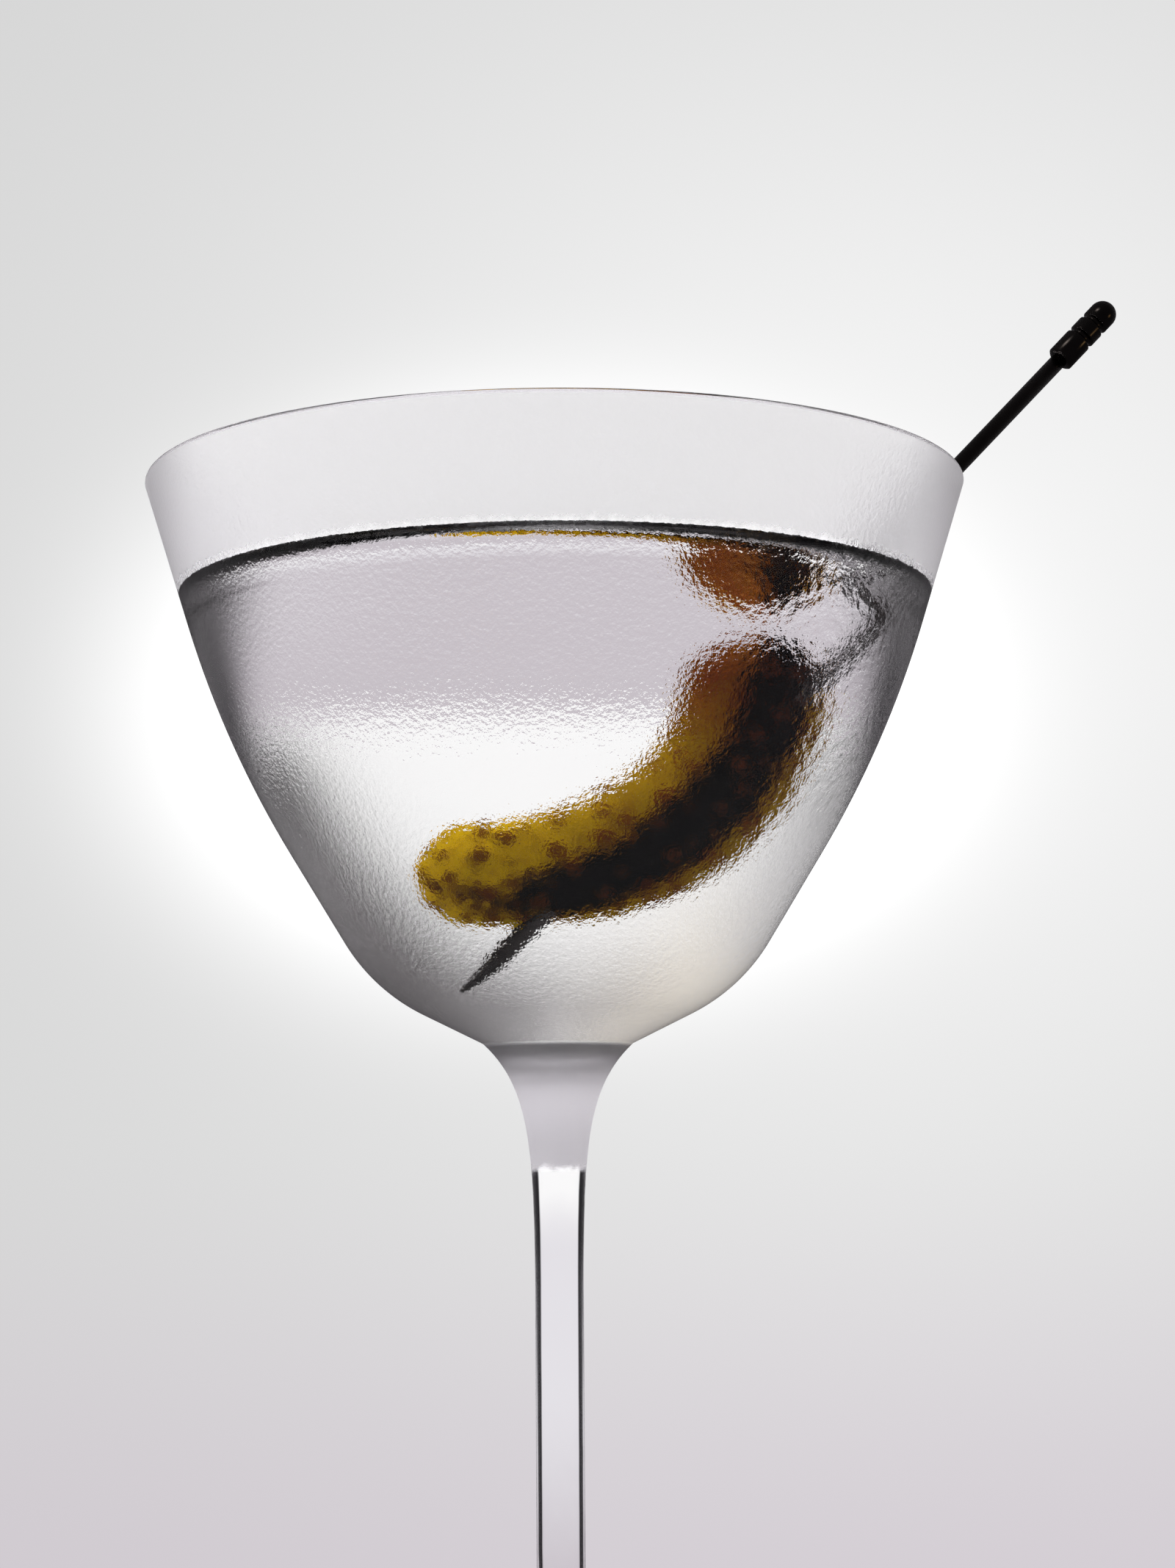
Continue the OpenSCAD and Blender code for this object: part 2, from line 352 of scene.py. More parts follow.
@dataclass(frozen=True)
class ChilledGlass:
    """Clear glass whose outside is misted down to the neck, with shade painted grey into the mist at the
    bowl's sides and below the crease.
    """

    mist_low: float
    crease_high: float
    drink_high: float
    lip_high: float
    ior: float = 1.5
    grain: float = 0.62
    drop: float = 1.3
    pale: Colour = (0.86, 0.845, 0.87)
    # the mist's painted shade, at the bowl's sides and on the neck below the crease
    grey: Colour = (0.06, 0.052, 0.062)
    passing: float = 0.85

    def build(self, graph: Graph) -> Wire:
        """Mixes the clear glass with a veil of mist, with shade painted grey into it at the bowl's sides
        and below the crease.

        Args:
            graph: The material's nodes.

        Returns:
            The shader.
        """
        where = graph.place()
        high, across = graph.axis(where, "Z"), graph.axis(where, "X")
        near = graph.axis(where, "Y").rise(8.0, -8.0)
        outside = graph.painted("outside")
        patches = graph.noise(where, 9.0, 3.0)
        ragged = high + (graph.noise(where, 1.2, 3.0) - 0.5) * 1.6
        misted = ragged.rise(self.mist_low - 0.5, self.mist_low + 0.7) * outside
        misted = misted * high.rise(self.lip_high - 0.25, self.lip_high - 0.75)
        band = ragged.rise(self.drink_high - 0.6, self.drink_high + 0.6)
        neck = high.rise(self.crease_high + 0.1, self.crease_high - 0.5)
        right = across.rise(8.0, 34.0) * (1.0 - band)
        fine = graph.noise(where, self.grain, 2.0, 0.6)
        coarse = graph.cells(where, self.drop)
        height = fine * (0.5 + 0.5 * patches) * (1.0 - 0.7 * neck) + coarse * right * 0.9
        ripple = graph.noise(graph.place((1.0, 1.0, 0.25)), 2.2, 2.0)
        relief = height * 1.25 * misted + ripple * (1.0 - misted) * outside * 0.25
        rough = misted * (0.02 + 0.25 * neck + 0.25 * band + 0.04 * patches)
        clear = graph.add("ShaderNodeBsdfPrincipled", None, {
            "Base Color": (1.0, 1.0, 1.0, 1.0), "Transmission Weight": 1.0, "IOR": self.ior,
            "Specular Tint": (0.25, 0.25, 0.25, 1.0),
            "Roughness": rough, "Normal": graph.bump(relief, 0.1)})
        # painted shade: the mist turns grey towards the bowl's left and right sides at the drink's level
        edge = across.math("ABSOLUTE").rise(42.0, 51.5) * band
        # painted shade in the neck's mist: strongest just below the crease, and some again 6 to 13 mm lower
        fall = self.crease_high - high
        under = (0.26 * fall.rise(6.0, 13.0) + 0.72 * fall.rise(4.6, 1.2)) * neck
        # the mist's tone: pale, with painted shade in grey at the sides and below the crease
        veil = graph.mix(0.4 * edge + under, self.fog(graph, self.pale), self.fog(graph, self.grey))
        # the sides of the band also get more of the mist that carries the grey painted shade
        cover = misted * (0.80 * neck + (0.2 + 0.15 * near + 0.4 * edge) * band)
        return graph.mix(cover, clear, veil)

    def fog(self, graph: Graph, tone: Colour) -> Wire:
        """Fog of one tone. Most of the light that it scatters goes on through it."""
        colour = {"Color": (*tone, 1.0)}
        thrown_back = graph.add("ShaderNodeBsdfDiffuse", None, colour)
        passed_on = graph.add("ShaderNodeBsdfTranslucent", None, colour)
        return graph.mix(self.passing, thrown_back, passed_on)


@dataclass(frozen=True)
class ClearSpirit:
    """The clear drink."""

    ior: float = 1.36

    def build(self, graph: Graph) -> Wire:
        """A smooth clear liquid, with the slightest swell on its surface.

        Args:
            graph: The material's nodes.

        Returns:
            The shader.
        """
        swell = graph.bump(graph.noise(graph.place(), 14.0, 1.0), 0.02)
        return graph.add("ShaderNodeBsdfPrincipled", None, {
            "Base Color": (1.0, 1.0, 0.995, 1.0), "Transmission Weight": 1.0, "IOR": self.ior,
            "Specular Tint": (0.0, 0.0, 0.0, 1.0),
            "Roughness": 0.0, "Normal": swell})


@dataclass(frozen=True)
class PickledSkin:
    """Wet pickled skin: yellow at the lower tip, olive on the upper flank, dark warts, and painted shade
    along the lower front and on the back.
    """

    yellow: Colour = (0.60, 0.36, 0.002)
    olive: Colour = (0.29, 0.165, 0.002)
    # brown is the mottling, the flush and the warts, and also the painted shade along the lower front
    brown: Colour = (0.10, 0.018, 0.003)
    # near black of the painted shade along the lower front
    dark: Colour = (0.0004, 0.0002, 0.0002)
    # painted shade on the back of the skin
    shade: Colour = (0.085, 0.055, 0.003)

    def build(self, graph: Graph) -> Wire:
        """Blends the skin's colours by place, with mottling and warts, and paints shade: brown to near
        black along the lower front, darker olive on the back.

        Args:
            graph: The material's nodes.

        Returns:
            The shader.
        """
        where = graph.place()
        mottle = graph.noise(where, 1.6, 4.0, 0.65)
        clouds = graph.noise(where, 5.0, 3.0)
        wart = graph.painted("wart")
        # painted shade along the lower front, broken up by the noise
        core = graph.painted("core") + (mottle - 0.5) * 0.7 + (clouds - 0.5) * 0.4
        skin = graph.blend(graph.painted("tip"), self.olive, self.yellow)
        # painted shade: darker olive where the skin faces +Y, its back
        skin = graph.blend(graph.painted("back") * 0.85, skin, self.shade)
        skin = graph.blend(mottle.rise(0.42, 0.72) * 0.55, skin, self.brown)
        skin = graph.blend(graph.painted("blush") * clouds.rise(0.1, 0.42) * 0.95, skin, self.brown)
        # painted shade: the band along the lower front turns brown
        skin = graph.blend(core.rise(0.25, 0.60) * 0.8, skin, self.brown)
        skin = graph.blend(wart.rise(0.25, 0.7) * 0.85, skin, self.brown)
        # painted shade: the middle of that band turns near black, less on the warts
        skin = graph.blend(core.rise(0.42, 0.75) * (1.0 - wart.rise(0.3, 0.9) * 0.45), skin, self.dark)
        relief = mottle * 0.6 + graph.noise(where, 0.45, 2.0) * 0.25
        return graph.add("ShaderNodeBsdfPrincipled", None, {
            "Base Color": skin, "Roughness": 0.3 + 0.15 * mottle, "Subsurface Weight": 0.3,
            "Subsurface Radius": (1.0, 0.6, 0.15), "Subsurface Scale": 0.6 * MM,
            "Specular IOR Level": 0.0, "Normal": graph.bump(relief, 0.12)})


@dataclass(frozen=True)
class BlackPlate:
    """Polished black-plated steel with a faint fine-grained bump."""

    colour: Colour = (0.05, 0.045, 0.042)

    def build(self, graph: Graph) -> Wire:
        """A dark mirror with slight wear in its gloss.

        Args:
            graph: The material's nodes.

        Returns:
            The shader.
        """
        where = graph.place()
        wear = graph.noise(where, 1.5, 4.0, 0.6)
        tint = graph.blend(wear.rise(0.3, 0.8), self.colour, tuple(c * 0.7 for c in self.colour))
        return graph.add("ShaderNodeBsdfPrincipled", None, {
            "Base Color": tint, "Metallic": 1.0, "Roughness": 0.10 + 0.08 * wear,
            "Normal": graph.bump(graph.noise(where, 0.25, 2.0), 0.004)})


# --- the object's parts ---


@dataclass
class Stemware:
    """The stemmed glass, in one piece."""

    shoulder_d: float = 84.4
    heel_d: float = 46.6
    crease_d: float = 19.0
    upper_h: float = 33.9
    lower_h: float = 31.0
    floor_h: float = 6.8
    shoulder_r: float = 130.0
    heel_r: float = 24.0
    wall_t: float = 1.3
    hollow_r: float = 16.0
    stem_d: float = 6.0
    neck_fall: float = 6.0
    foot_t: float = 1.6
    foot_d: float = 76.0
    foot_rise: float = 5.5
    foot_blend_r: float = 15.0
    mist_low: float = 88.6
    neck_reach: float = 5.0
    neck_start: float = 0.02
    neck_steps: int = 48
    wall_steps: int = 17
    floor_steps: int = 12
    lip_steps: int = 13
    foot_steps: tuple[int, int, int] = (6, 10, 24)
    sides: int = 256
    height: float = field(default_factory=lambda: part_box("glass")[1].z / MM)
    rim_r: float = field(default_factory=lambda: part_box("glass")[1].x / MM)

    @cached_property
    def corners(self) -> Array:
        """The outside's corners from the rim down to the crease, as radius and height."""
        drops = np.cumsum([self.wall_t / 2, self.upper_h - self.wall_t / 2, self.lower_h, self.floor_h])
        radii = [self.rim_r, self.shoulder_d / 2, self.heel_d / 2, self.crease_d / 2]
        return np.stack([radii, self.height - drops], axis=1)

    @cached_property
    def inner_corners(self) -> Array:
        """The hollow's corners: each stretch of the wall moved inwards by the wall's thickness."""
        ways = unit(np.diff(self.corners, axis=0))
        starts = [corner + self.wall_t * to_right(way) for corner, way in zip(self.corners, ways)]
        return np.array([
            meet(starts[0], ways[0], self.corners[0], np.array([1.0, 0.0])),
            meet(starts[0], ways[0], starts[1], ways[1]),
            meet(starts[1], ways[1], starts[2], ways[2]),
            meet(starts[2], ways[2], np.zeros(2), np.array([0.0, 1.0]))])

    def hollow(self, outwards: float = 0.0) -> Array:
        """The hollow's wall, from the rim down to the axis.

        Args:
            outwards: A distance by which the line is moved into the glass.

        Returns:
            Radius and height of each point.
        """
        rim, shoulder, heel, bottom = self.inner_corners
        mirror = heel * (-1, 1)
        floor = corner_arc(heel, bottom, mirror, self.hollow_r, 2 * self.floor_steps + 1)
        line = np.vstack([
            rim,
            corner_arc(rim, shoulder, heel, self.shoulder_r - self.wall_t, self.wall_steps),
            corner_arc(shoulder, heel, bottom, self.heel_r - self.wall_t, self.wall_steps),
            floor[:self.floor_steps + 1]])
        line[-1, 0] = 0.0
        slope = unit(np.gradient(line, axis=0))
        return line - outwards * np.stack([slope[:, 1], -slope[:, 0]], axis=1)

    def hollow_radius(self, height: float) -> float:
        """Radius of the hollow at a height."""
        wall = self.hollow()[::-1]
        return float(np.interp(height, wall[:, 1], wall[:, 0]))

    def outside(self) -> Array:
        """The outside, from the middle of the foot's underside up to the rim.

        The foot rises in a straight slope that an arc blends into the stem. The neck's radius falls
        exponentially from the crease's to the stem's.

        Returns:
            Radius and height of each point.
        """
        rim, shoulder, heel, crease = self.corners
        stem_r, foot_r = self.stem_d / 2, self.foot_d / 2
        up, rise = np.array([stem_r, self.height / 2]), np.array([stem_r, self.foot_rise])
        edge, under, centre = np.array([foot_r, self.foot_t]), np.array([foot_r, 0.0]), np.zeros(2)
        drop = np.linspace(self.neck_reach, self.neck_start, self.neck_steps)
        neck = np.stack([stem_r + (crease[0] - stem_r) * np.exp(-drop), crease[1] - self.neck_fall * drop],
                        axis=1)
        return np.vstack([
            centre,
            (foot_r - self.foot_t, 0.0),
            corner_arc(centre, under, edge, self.foot_t / 4, self.foot_steps[0]),
            corner_arc(under, edge, rise, self.foot_t / 2, self.foot_steps[1]),
            corner_arc(edge, rise, up, self.foot_blend_r, self.foot_steps[2]),
            neck,
            crease,
            crease + 0.1 * unit(heel - crease),
            corner_arc(crease, heel, shoulder, self.heel_r, self.wall_steps),
            corner_arc(heel, shoulder, rim, self.shoulder_r, self.wall_steps)])

    def lip(self) -> Array:
        """The lip: half an ellipse over the wall, from the outer rim to the inner one."""
        outer, inner = self.corners[0], self.inner_corners[0]
        turn = np.linspace(0, math.pi, self.lip_steps)
        reach = (outer[0] - inner[0]) / 2
        return (outer + inner) / 2 + np.stack(
            [reach * np.cos(turn), self.wall_t / 2 * np.sin(turn)], axis=1)

    def build(self, drink_high: float) -> None:
        """Makes the glass.

        Args:
            drink_high: Height to which the drink wets the wall.
        """
        outside, lip, hollow = self.outside(), self.lip(), self.hollow()[1:]
        outline = np.vstack([outside, lip, hollow])
        wet = np.zeros(len(outline))
        wet[:len(outside) + len(lip) // 2] = 1.0
        piece = turned_skin("stemmed_glass", outline, self.sides, {"outside": wet})
        finish = ChilledGlass(self.mist_low, self.corners[-1][1], drink_high, self.height)
        fit_in(piece, material(Slot.GLASS, finish.build), Slot.GLASS, "glass")


@dataclass
class Drink:
    """The clear drink: it fills the hollow and reaches just into the wall."""

    glass: Stemware
    meniscus_h: float = 2.1
    meniscus_fall: float = 1.8
    meniscus_reach: float = 4.5
    meniscus_steps: int = 40
    sink: float = 0.15
    sides: int = 256
    high: float = field(default_factory=lambda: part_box("drink")[1].z / MM)

    @property
    def level(self) -> float:
        """Height of the flat part of the surface."""
        return self.high - self.meniscus_h

    def build(self) -> None:
        """Makes the drink.

        Its surface climbs exponentially towards the wall, and its sides follow the hollow.
        """
        wall = self.glass.hollow(self.sink)[::-1]
        wall = wall[wall[:, 1] < self.high]
        wall[0, 0] = 0.0
        rim_r = self.glass.hollow_radius(self.high)
        away = self.meniscus_fall * self.meniscus_reach * np.linspace(0, 1, self.meniscus_steps) ** 1.5
        tail = math.exp(-self.meniscus_reach)
        climb = (np.exp(-away / self.meniscus_fall) - tail) / (1 - tail)
        top = np.stack([rim_r - away, self.level + self.meniscus_h * climb], axis=1)
        outline = np.vstack([wall, (rim_r + self.sink, self.high), top, (0.0, self.level)])
        piece = turned_skin("clear_drink", outline, self.sides)
        fit_in(piece, material(Slot.DRINK, ClearSpirit().build), Slot.DRINK, "drink")


@dataclass
class Pick:
    """The metal pick: a shaft with a point, and a turned head."""

    glass: Stemware
    diameter: float = 2.1
    rise_a: float = 46.1
    turn_a: float = 13.3
    place_a: float = -2.3
    above: float = 22.6
    joint_gap: float = 0.05
    point_l: float = 7.0
    point_tip_d: float = 0.5
    head_l: float = 10.6
    head_d: float = 3.6
    groove_depth: float = 0.45
    groove_w: float = 0.9
    groove_low: float = 4.2
    groove_apart: float = 2.6
    sides: int = 48

    @cached_property
    def ways(self) -> Array:
        """The pick's own directions, one to a row: along the shaft, across it upwards, and behind it."""
        rise, turn = math.radians(self.rise_a), math.radians(self.place_a + self.turn_a)
        return np.array([
            (math.cos(rise) * math.cos(turn), math.cos(rise) * math.sin(turn), math.sin(rise)),
            (-math.sin(rise) * math.cos(turn), -math.sin(rise) * math.sin(turn), math.cos(rise)),
            (-math.sin(turn), math.cos(turn), 0.0)])

    @cached_property
    def rest(self) -> Array:
        """The point of the shaft's axis over the lip."""
        lip = (self.glass.corners[0] + self.glass.inner_corners[0]) / 2
        half = self.glass.corners[0][0] - lip[0]
        place, rise = math.radians(self.place_a), math.radians(self.rise_a)
        reach = math.hypot(half * math.sin(rise), self.glass.wall_t / 2 * math.cos(rise))
        point = np.array([lip[0] * math.cos(place), lip[0] * math.sin(place), lip[1]])
        return point + self.ways[1] * (reach + self.diameter / 2 + self.joint_gap)

    @cached_property
    def below(self) -> float:
        """Length from there down to the point, where the shaft would touch the wall."""
        steps = np.arange(self.glass.rim_r * 2 / 3, self.glass.rim_r * 3, 0.1)
        axis = self.rest - steps[:, None] * self.ways[0]
        wall = self.glass.hollow()[::-1]
        room = np.interp(axis[:, 2], wall[:, 1], wall[:, 0]) - np.hypot(axis[:, 0], axis[:, 1])
        return float(steps[room > self.diameter / 2].max())

    @property
    def tip(self) -> Array:
        """The pick's point."""
        return self.rest - self.below * self.ways[0]

    def along(self, outline: Array) -> Array:
        """Turns an outline about the shaft's axis.

        Args:
            outline: Radius, and distance from the pick's point.

        Returns:
            An array of rings by sides by 3.
        """
        angle = np.linspace(0, 2 * math.pi, self.sides, endpoint=False)
        spoke = np.cos(angle)[:, None] * self.ways[1] + np.sin(angle)[:, None] * -self.ways[2]
        return self.tip + outline[:, 1, None, None] * self.ways[0] + outline[:, 0, None, None] * spoke

    def groove(self, height: float) -> list[tuple[float, float]]:
        """A groove with rounded shoulders at a height up the head, as radius and height."""
        step = np.linspace(-1, 1, 13)
        depth = self.groove_depth * (1 - np.abs(step) ** 3) ** 1.5
        return [(self.head_d / 2 - d, height + s * self.groove_w / 2) for s, d in zip(step, depth)]

    def build(self) -> None:
        """Makes the shaft and the head."""
        finish = material(Slot.PICK, BlackPlate().build)
        top = self.below + self.above
        half = self.diameter / 2
        # The point is a cone to within 0.02 mm. Close rings on both sides of an edge keep it crisp.
        shaft = np.array([(self.point_tip_d / 2 * 0.7, 0.0), (self.point_tip_d / 2, 0.1),
                          (half * 0.6, self.point_l * 0.5), (half * 0.985, self.point_l - 0.2),
                          (half, self.point_l + 0.2), (half, top * 0.5), (half, top - 0.02),
                          (half - 0.02, top)])
        self.skin("pick_shaft_black", shaft, finish, "pick_shaft")
        dome = self.head_d / 2
        chamfer = self.groove_depth / 2
        turn = np.linspace(0, math.pi / 2, 16)[:-1]
        head = np.array([
            (half, 0.0), (dome - chamfer, 0.0), (dome - chamfer * 0.9, 0.02), (dome - 0.02, chamfer * 0.9),
            (dome, chamfer), (dome, self.groove_low - self.groove_w / 2 - 0.1),
            *self.groove(self.groove_low), (dome, self.groove_low + self.groove_w / 2 + 0.1),
            (dome, self.groove_low + self.groove_apart - self.groove_w / 2 - 0.1),
            *self.groove(self.groove_low + self.groove_apart),
            *[(dome * math.cos(a), self.head_l - dome + dome * math.sin(a)) for a in turn]])
        self.skin("pick_head_black", head + (0, top), finish, "pick_head", self.head_l + top)

    def skin(self, name: str, outline: Array, finish: bpy.types.Material, node: str,
             end: float | None = None) -> None:
        """Makes one turned piece of the pick, closed on its axis."""
        poles = [self.tip + way * self.ways[0] for way in (outline[0, 1], end or outline[-1, 1])]
        piece = closed_skin(name, self.along(outline), poles[0], poles[1])
        fit_in(piece, finish, Slot.PICK, node)


@dataclass
class Gherkin:
    """The bent gherkin on the pick, with its warts as real bumps."""

    pick: Pick
    length: float = 50.5
    diameter: float = 15.4
    taper: float = 0.87
    lift: float = 7.3
    wart_h: float = 0.42
    wart_w: float = 1.2
    wart_apart: float = 2.6
    rib_count: int = 6
    rib_h: float = 0.16
    lump_h: float = 0.2
    inset: float = 0.25
    lower_end: tuple[float, float] = (8.5, 2.0)
    bend: tuple[float, float] = (-7.9, 3.5)
    upper_end: tuple[float, float] = (3.7, 5.2)
    wart_count: int = 190
    rings: int = 200
    cap_rings: int = 34
    sides: int = 180
    seed: int = 7

    def spine(self, t: Array) -> Array:
        """The middle line: straight along the pick and a parabola across it, for t from 0 to 1."""
        end_r = self.diameter / 2 * self.taper
        first, last = self.lift + end_r, self.lift + self.length - end_r
        low, mid, high = (np.array(p) for p in (self.lower_end, self.bend, self.upper_end))
        t = t[..., None]
        side = low * (1 - t) ** 2 + 2 * mid * t * (1 - t) + high * t * t
        ahead, up, back = self.pick.ways
        return (self.pick.tip + (first + (last - first) * t) * ahead + side[..., :1] * up
                + side[..., 1:] * back)

    def radius(self, t: Array) -> Array:
        """The radius: it swells from the lower end to the middle and keeps on to the upper end."""
        swell = np.sin(np.minimum(1, 2 * t) * math.pi / 2)
        return self.diameter / 2 * (self.taper + (1 - self.taper) * swell)

    def surface(self) -> tuple[Array, Array, Array, Array]:
        """The smooth body: a tube along the middle line with a half ball at each end.

        Returns:
            The centres and outward normals of rings by sides, t for each ring, and the angle round the
            line from the pick's upper side towards the front.
        """
        tilt = np.linspace(0, math.pi / 2, self.cap_rings + 1)[1:]
        t = np.concatenate([np.zeros(len(tilt)), np.linspace(0, 1, self.rings), np.ones(len(tilt))])
        lean = np.concatenate([tilt, np.full(self.rings, math.pi / 2), tilt[::-1]])
        out = np.concatenate([-np.ones(len(tilt)), np.zeros(self.rings), np.ones(len(tilt))])
        keep = np.append(True, np.abs(np.diff(t)) + np.abs(np.diff(lean)) > 1e-9)
        t, lean, out = t[keep], lean[keep], out[keep]
        way = unit(self.spine(t + 0.01) - self.spine(t - 0.01))
        front = -self.pick.ways[2]
        up = unit(np.cross(front, way))
        toward = np.cross(way, up)
        angle = np.linspace(0, 2 * math.pi, self.sides, endpoint=False)
        cosine, sine = np.cos(angle)[None, :, None], np.sin(angle)[None, :, None]
        spoke = cosine * up[:, None] + sine * toward[:, None]
        normal = (np.sin(lean)[:, None, None] * spoke + (out * np.cos(lean))[:, None, None] * way[:, None])
        centre = np.broadcast_to(self.spine(t)[:, None], normal.shape)
        return centre, normal, t, angle

    def warts(self, smooth: Array) -> Array:
        """The warts: bells of height exp(-(distance / width) squared) round scattered spots.

        Args:
            smooth: The smooth body's points.

        Returns:
            The height at each point, as a share of the largest wart's.
        """
        draw = np.random.default_rng(self.seed)
        ring = draw.integers(0, smooth.shape[0], self.wart_count * 3)
        side = draw.integers(0, smooth.shape[1], self.wart_count * 3)
        chosen: list[Array] = []
        for spot in smooth[ring, side]:
            if all(np.linalg.norm(spot - other) > self.wart_apart for other in chosen):
                chosen.append(spot)
        size = draw.uniform(0.55, 1.0, len(chosen))
        height = np.zeros(smooth.shape[:2])
        for spot, share in zip(chosen, size):
            gap = np.linalg.norm(smooth - spot, axis=2)
            height = np.maximum(height, share * np.exp(-(gap / (self.wart_w * (0.7 + 0.5 * share))) ** 2))
        return height

    def paint(self, t: Array, angle: Array, normal: Array) -> dict[str, Array]:
        """Where the skin is yellow or flushed brown, and where shade is painted, from 0 to 1.

        The painted shade is a bell round a line that runs along the body's lower front, the yellow fades
        away from the lower end, the flush is a bell at the upper end, and more painted shade is on the
        back.

        Args:
            t: Place of each ring along the middle line.
            angle: Angle of each side round it.
            normal: The smooth body's normals.

        Returns:
            A value for each point under each name.
        """
        along, around = t[:, None], np.degrees(angle)[None]
        band_mid = 134.0 - 26.0 * np.clip(along * 1.8, 0, 1)
        # painted shade: a bell round a line along the lower front, weaker towards the lower end
        core = np.exp(-((around - band_mid) / 43.0) ** 2) * np.clip((along + 0.17) * 3.2, 0.2, 1)
        return {
            "core": core,
            "tip": np.clip(1 - along * 2.6, 0, 1) + 0 * around,
            "blush": np.exp(-((along - 1.0) / 0.24) ** 2) * np.exp(-((around - 40) / 70.0) ** 2),
            # painted shade on the back: more where the normal points to +Y
            "back": np.clip(normal[..., 1] * 1.6 + 0.2, 0, 1)}

    def build(self) -> None:
        """Makes the gherkin: the body, its shallow ribs and lumps, and the warts."""
        centre, normal, t, angle = self.surface()
        radius = self.radius(t)[:, None]
        smooth = centre + radius[..., None] * normal
        wart = self.warts(smooth)
        ribs = np.cos(self.rib_count * angle + 0.8)[None] * np.sin(math.pi * t)[:, None] ** 0.5
        lumps = np.sin(smooth[..., 0] * 0.55 + 1.1) * np.cos(smooth[..., 2] * 0.42 + smooth[..., 1] * 0.5)
        relief = self.wart_h * wart + self.rib_h * ribs + self.lump_h * lumps - self.inset
        grown = smooth + relief[..., None] * normal
        low = centre[0, 0] - radius[0] * self.way(0.0)
        high = centre[-1, 0] + radius[-1] * self.way(1.0)
        paint = {"wart": wart, **self.paint(t, angle, normal)}
        piece = closed_skin("gherkin_skin", grown, low, high, paint)
        fit_in(piece, material(Slot.GHERKIN, PickledSkin().build), Slot.GHERKIN, "gherkin")

    def way(self, t: float) -> Array:
        """The middle line's direction at t."""
        return unit(self.spine(np.array(t + 0.01)) - self.spine(np.array(t - 0.01)))


# --- the studio ---


@dataclass(frozen=True)
class Lobe:
    """A soft round patch of light, seen from the object."""

    azimuth: float
    elevation: float
    spread: float
    colour: Colour

    def glow(self, graph: Graph, ray: Wire) -> Wire:
        """How strongly a direction lies in the patch: exp((cosine of the angle away - 1) / width)."""
        az, el = math.radians(self.azimuth), math.radians(self.elevation)
        centre = (math.sin(az) * math.cos(el), math.cos(az) * math.cos(el), math.sin(el))
        cosine = graph.add("ShaderNodeVectorMath", {"operation": "DOT_PRODUCT"},
                           {0: ray, 1: centre}, "Value")
        width = 1 - math.cos(math.radians(self.spread))
        return ((cosine - 1.0) * (1 / width)).math("EXPONENT")


